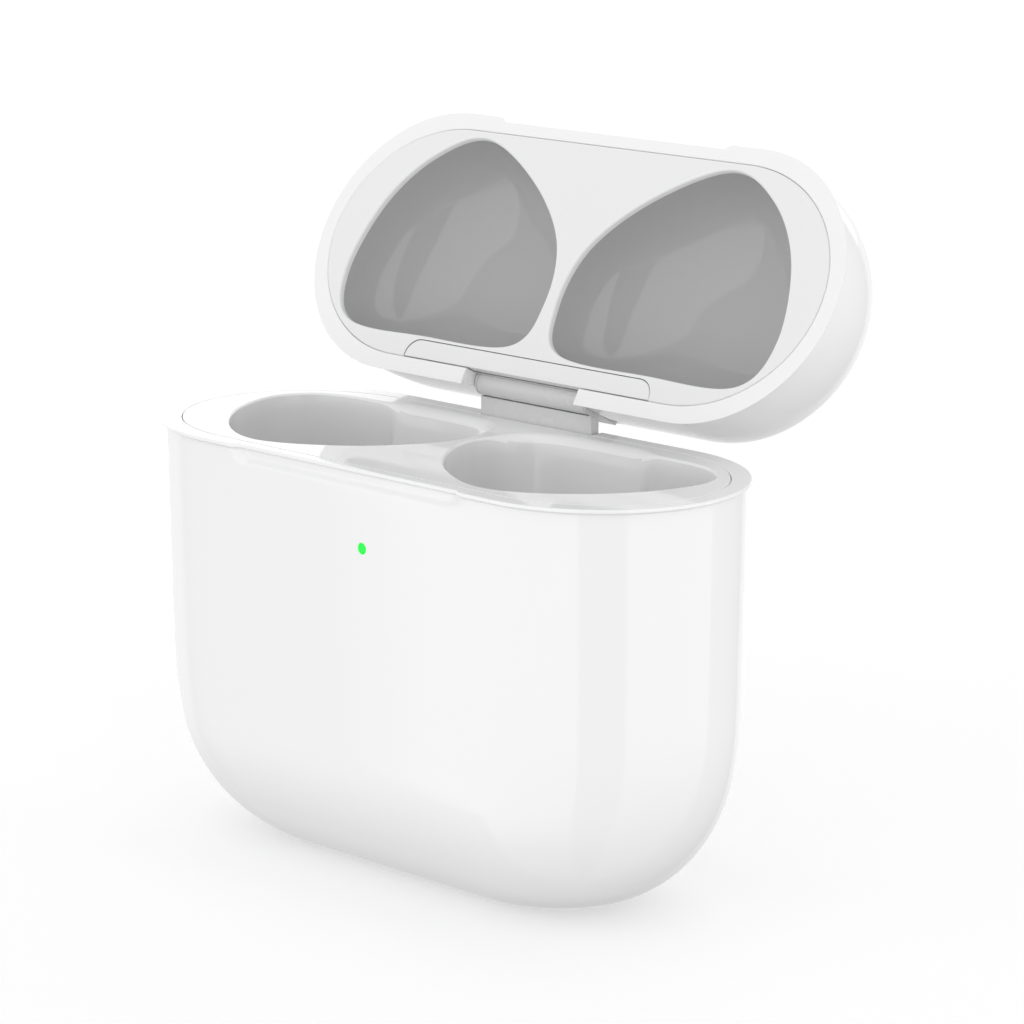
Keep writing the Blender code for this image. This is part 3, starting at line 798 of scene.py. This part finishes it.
def make_hinge_bracket():
    """The fixed block in the rear of the rim, with its two lugs."""
    low = (-HINGE_HALF_WIDTH, HINGE_Y - BLOCK_FRONT, BLOCK_BOTTOM)
    high = (HINGE_HALF_WIDTH, HINGE_Y + BLOCK_REAR, BLOCK_TOP)
    # the hinge's grey colour is painted shade on white plastic
    obj = block("hinge_block", low, high, HINGE_SHADED_SATIN, BLOCK_BEVEL)
    front, rear = HINGE_Y - BLOCK_FRONT + LUG_INSET, HINGE_Y + BLOCK_REAR - LUG_INSET
    for side, _ in SIDES:
        near, far = sorted((side * (HINGE_HALF_WIDTH - LUG_WIDTH), side * (HINGE_HALF_WIDTH - LUG_INSET)))
        combine(obj, block("web", (near, front, WEB_BOTTOM), (far, rear, HINGE_Z)), "UNION")
        centre = ((near + far) / 2, HINGE_Y, HINGE_Z)
        combine(obj, rod("ear", centre, X_AXIS, BARREL_RADIUS, far - near - LUG_INSET), "UNION")
    combine(obj, rod("bore", HINGE_CENTRE, X_AXIS, BORE_RADIUS, BORE_LENGTH))
    even_normals(obj, HINGE_SMOOTH_ANGLE)
    dress(obj, "hinge_bracket", "body")


def make_hinge_leaf():
    """The moving leaf: a barrel on the pin, a strap up the rear of the lid and a flange inside it."""
    half = HINGE_HALF_WIDTH - LUG_WIDTH - LEAF_GAP
    # the hinge's grey colour is painted shade on white plastic
    obj = rod("hinge_arm", HINGE_CENTRE, X_AXIS, BARREL_RADIUS, 2 * half, HINGE_SHADED_SATIN)
    # Each block's half width, then its front, rear, bottom and top from the hinge's axis.
    for name, half_x, front, rear, bottom, top in (
        ("strap", half - 0.02, -0.55, 0.45, 0.0, 3.4),
        ("neck", half - 0.04, -1.8, -0.5, 1.3, 2.6),
        ("flange", HINGE_HALF_WIDTH + FLANGE_REACH, -1.84, -1.42, 1.2, 2.7),
    ):
        low = (-half_x, HINGE_Y + front, HINGE_Z + bottom)
        high = (half_x, HINGE_Y + rear, HINGE_Z + top)
        combine(obj, block(name, low, high), "UNION")
    combine(obj, rod("bore", HINGE_CENTRE, X_AXIS, BORE_RADIUS, BORE_LENGTH))
    even_normals(obj, HINGE_SMOOTH_ANGLE)
    dress(obj, "hinge_leaf", "lid")


def make_hinge_cover():
    """The long plate between the recesses and the rear rim."""
    rings = []
    for level, inset in ((COVER_THICKNESS, 0.0), (COVER_EDGE, 0.0), (0.0, COVER_EDGE)):
        ring = []
        for x, y in cover_outline():
            inward = inset if y < COVER_REAR else -inset
            ring.append((x * (1 - inset / COVER_HALF_WIDTH), y + inward, LID_GAP + level))
        rings.append(ring)
    # the liner's darker copy of the plastic paints shade on the plate
    obj = loft("hinge_plate", rings, LINER, HINGE_SMOOTH_ANGLE)
    dress(obj, "hinge_cover", "lid")


# The lid


def make_lid_shell():
    """The domed lid, with a notch in its rear rim that goes in deeper above the hinge block."""
    obj = loft("case_lid", shell_rings(lid_plan, LID_HEIGHT, LID_GAP, LID_LEVELS, UP), GLOSS)
    half = HINGE_HALF_WIDTH + NOTCH_GAP
    for front, low, high in (
        (HINGE_Y - BLOCK_FRONT - NOTCH_GAP, LID_CUT_BOTTOM, NOTCH_STEP + NOTCH_OVERLAP),
        (HINGE_Y - NOTCH_FRONT, NOTCH_STEP, HINGE_Z + NOTCH_RISE),
    ):
        combine(obj, block("lid_notch", (-half, front, low), (half, DEPTH, high)))
    even_normals(obj)
    dress(obj, "lid_shell", "lid")


def make_lid_insert():
    """The liner of the lid, with a recess over each earbud and room for the hinge cover."""
    # the liner is a darker copy of the insert plastic: painted shade
    obj = loft("lid_liner", insert_rings(lid_plan, LID_GAP, LID_GAP + INSERT_PLATE, UP), LINER)
    # the second material paints shade into the recesses
    obj.data.materials.append(RECESS)
    for side, word in SIDES:
        cup_size = (RECESS_FLOOR + RECESS_WALL, RECESS_TAPER, UP, LID_GAP)
        cup = pocket_rings(RECESS_OUTLINE, side, *cup_size, wall=RECESS_WALL)
        combine(obj, loft(f"cup_{word}", cup), "UNION")
    for side, word in SIDES:
        recess = pocket_rings(RECESS_OUTLINE, side, RECESS_FLOOR, RECESS_TAPER, UP, LID_GAP)
        combine(obj, loft(f"recess_{word}", recess))
    room = []
    for x, y in cover_outline():
        room.append((x + math.copysign(COVER_SEAM, x), y - COVER_SEAM if y < COVER_REAR else DEPTH))
    combine(obj, prism("cover_room", room, LID_CUT_BOTTOM, LID_HEIGHT))
    # faces deep in the recesses get the much darker copy: painted shade
    paint_depth(obj, LID_GAP + RECESS_PAINT, UP)
    even_normals(obj)
    dress(obj, "lid_insert", "lid")


def dress_inner_nodes():
    """The pieces inside keep their CAD shapes and get their real finishes."""
    finishes = {
        "battery": CELL,
        "main_board": BOARD,
        "led_board": BOARD,
        "charge_pin": GOLD,
        "charge_chip": EPOXY,
        "control_chip": EPOXY,
        "lid_sensor": EPOXY,
        "port_tongue": EPOXY,
        "port_can": STEEL,
        "hinge_pin": STEEL,
        "flex_cable": FILM,
        "status_led": LAMP,
        "body_magnet": NICKEL,
        "bud_magnet": NICKEL,
        "lid_magnet": NICKEL,
    }
    for name, node in frame["nodes"].items():
        for start, material in finishes.items():
            if name.startswith(start):
                node.data.materials.clear()
                node.data.materials.append(material)


# The studio, in metres

CAMERA_AZIMUTH = math.radians(43.31)
CAMERA_ELEVATION = math.radians(13.39)
CAMERA_DISTANCE = 0.2634
CAMERA_LENS = 132.68
TARGET_OFFSET = Vector((6.37, 0.0, -3.911)) * MM
FLOOR_SIZE = 4
FLOOR_CELLS = 8
FLOOR_GLOW = 0.1
TOP_LIGHT_PLACE = (0.1, -0.1, 0.9)
TOP_LIGHT_SIZE = 0.9
TOP_LIGHT_POWER = 0.4

# Levels of light. A colour ramp stops at 1, so a level is stored as its share of FULL_LEVEL.
FULL_LEVEL = 2.0
FRONT_PANEL = 1.3
GAP_LEVEL = 0.35
SIDE_PANEL = 0.6
REAR_PANEL = 1.6
REAR_PANEL_BELOW = 0.95  # below the horizon
# From straight down at -1 to straight up at 1: how much of the panels shows, and the soft light.
PANEL_SHARE = [(-1, 0.3), (-0.75, 0.375), (-0.3, 1.0), (1, 1.0)]
DOME = [(-1, 0.42), (-0.3, 0.92), (0, 1.45), (0.3, 1.35), (0.5, 1.1), (1, 0.55)]


def make_camera():
    """The photo's camera, which looks at the case from its front right and a little from above."""
    back = Vector(
        (
            math.sin(CAMERA_AZIMUTH) * math.cos(CAMERA_ELEVATION),
            -math.cos(CAMERA_AZIMUTH) * math.cos(CAMERA_ELEVATION),
            math.sin(CAMERA_ELEVATION),
        )
    )
    camera = bpy.data.objects.new("camera", bpy.data.cameras.new("camera"))
    camera.data.lens = CAMERA_LENS
    camera.data.clip_start = 0.01
    camera.location = MIDDLE + TARGET_OFFSET + back * CAMERA_DISTANCE
    camera.rotation_euler = back.to_track_quat("Z", "Y").to_euler()
    bpy.context.scene.collection.objects.link(camera)
    bpy.context.scene.camera = camera


def make_top_light():
    """A large soft light above, aimed at the origin and left out of reflections."""
    light = bpy.data.lights.new("top", "AREA")
    light.shape = "RECTANGLE"
    light.size = light.size_y = TOP_LIGHT_SIZE
    light.energy = TOP_LIGHT_POWER
    obj = bpy.data.objects.new("top", light)
    obj.location = TOP_LIGHT_PLACE
    obj.rotation_euler = Vector(TOP_LIGHT_PLACE).to_track_quat("Z", "Y").to_euler()
    obj.visible_glossy = False
    bpy.context.scene.collection.objects.link(obj)


def make_floor():
    """White paper under the case that glows a little and sends no light back to it."""
    shape = bmesh.new()
    bmesh.ops.create_grid(shape, x_segments=FLOOR_CELLS, y_segments=FLOOR_CELLS, size=FLOOR_SIZE)
    mesh = bpy.data.meshes.new("floor")
    shape.to_mesh(mesh)
    shape.free()
    floor = bpy.data.objects.new("floor", mesh)
    floor.location.z = CAD_BOX[0][2]
    paper = moulded("floor_paper", (0.95, 0.95, 0.95), 0.005, (0.8, 0.9), 2.0, 0.02)
    shader = paper.node_tree.nodes["Principled BSDF"]
    shader.inputs["Emission Color"].default_value = (1, 1, 1, 1)
    shader.inputs["Emission Strength"].default_value = FLOOR_GLOW
    mesh.materials.append(paper)
    floor.visible_glossy = floor.visible_diffuse = floor.visible_shadow = False
    bpy.context.scene.collection.objects.link(floor)


def calculate(nodes, links, operation, *values):
    """One sum on sockets or plain numbers."""
    node = nodes.new("ShaderNodeMath")
    node.operation = operation
    for socket, value in zip(node.inputs, values):
        if isinstance(value, float):
            socket.default_value = value
        else:
            links.new(value, socket)
    return node.outputs[0]


def ramp(nodes, links, value, low, high, stops, full):
    """A grey level that changes between stops, each a value and its level, as a share of full."""
    scaled = nodes.new("ShaderNodeMapRange")
    scaled.inputs["From Min"].default_value = low
    scaled.inputs["From Max"].default_value = high
    links.new(value, scaled.inputs["Value"])
    levels = nodes.new("ShaderNodeValToRGB")
    elements = levels.color_ramp.elements
    while len(elements) < len(stops):
        elements.new(0.5)
    for element, (at, level) in zip(elements, stops):
        element.position = (at - low) / (high - low)
        element.color = (level / full, level / full, level / full, 1)
    links.new(scaled.outputs["Result"], levels.inputs["Fac"])
    return levels.outputs["Color"]


def panels(rear):
    """Levels round the object in degrees from +x, with a gap between two bright panels in front."""
    return [
        (-180, rear),
        (-172, SIDE_PANEL),
        (-136, SIDE_PANEL),
        (-135, FRONT_PANEL),
        (-66, FRONT_PANEL),
        (-65, GAP_LEVEL),
        (-29.5, GAP_LEVEL),
        (-28.5, FRONT_PANEL),
        (50, FRONT_PANEL),
        (51, SIDE_PANEL),
        (100, SIDE_PANEL),
        (108, rear),
        (172, rear),
    ]


def panel_light(nodes, links, direction):
    """What reflections see: panels round the object, darker toward the ground."""
    turn = calculate(nodes, links, "ARCTAN2", direction["Y"], direction["X"])
    degrees = calculate(nodes, links, "DEGREES", turn)
    above = calculate(nodes, links, "GREATER_THAN", direction["Z"], 0.0)
    choose = nodes.new("ShaderNodeMix")
    choose.data_type = "RGBA"
    links.new(above, choose.inputs["Factor"])
    for socket, rear in (("A", REAR_PANEL_BELOW), ("B", REAR_PANEL)):
        links.new(ramp(nodes, links, degrees, -180, 180, panels(rear), FULL_LEVEL), choose.inputs[socket])
    restored = nodes.new("ShaderNodeVectorMath")
    restored.operation = "SCALE"
    restored.inputs["Scale"].default_value = FULL_LEVEL
    links.new(choose.outputs["Result"], restored.inputs[0])
    light = nodes.new("ShaderNodeBackground")
    links.new(restored.outputs[0], light.inputs["Color"])
    links.new(ramp(nodes, links, direction["Z"], -1, 1, PANEL_SHARE, 1.0), light.inputs["Strength"])
    return light.outputs["Background"]


def soft_light(nodes, links, direction):
    """What all else sees: light that is the same all round and strongest at the horizon."""
    light = nodes.new("ShaderNodeBackground")
    light.inputs["Strength"].default_value = FULL_LEVEL
    links.new(ramp(nodes, links, direction["Z"], -1, 1, DOME, FULL_LEVEL), light.inputs["Color"])
    return light.outputs["Background"]


def make_world():
    """Soft light from all round, and panels in its place in reflections."""
    world = bpy.data.worlds.new("studio")
    world.use_nodes = True
    bpy.context.scene.world = world
    nodes, links = world.node_tree.nodes, world.node_tree.links
    nodes.clear()
    place = nodes.new("ShaderNodeTexCoord")
    split = nodes.new("ShaderNodeSeparateXYZ")
    links.new(place.outputs["Generated"], split.inputs["Vector"])
    path = nodes.new("ShaderNodeLightPath")
    mix = nodes.new("ShaderNodeMixShader")
    out = nodes.new("ShaderNodeOutputWorld")
    links.new(path.outputs["Is Glossy Ray"], mix.inputs["Fac"])
    links.new(soft_light(nodes, links, split.outputs), mix.inputs[1])
    links.new(panel_light(nodes, links, split.outputs), mix.inputs[2])
    links.new(mix.outputs["Shader"], out.inputs["Surface"])


make_body_shell()
make_body_insert()
make_light()
make_port()
make_hinge_bracket()
make_hinge_leaf()
make_lid_shell()
make_hinge_cover()
make_lid_insert()
dress_inner_nodes()
make_camera()
make_floor()
make_world()
make_top_light()
bpy.context.scene.view_settings.view_transform = "Standard"
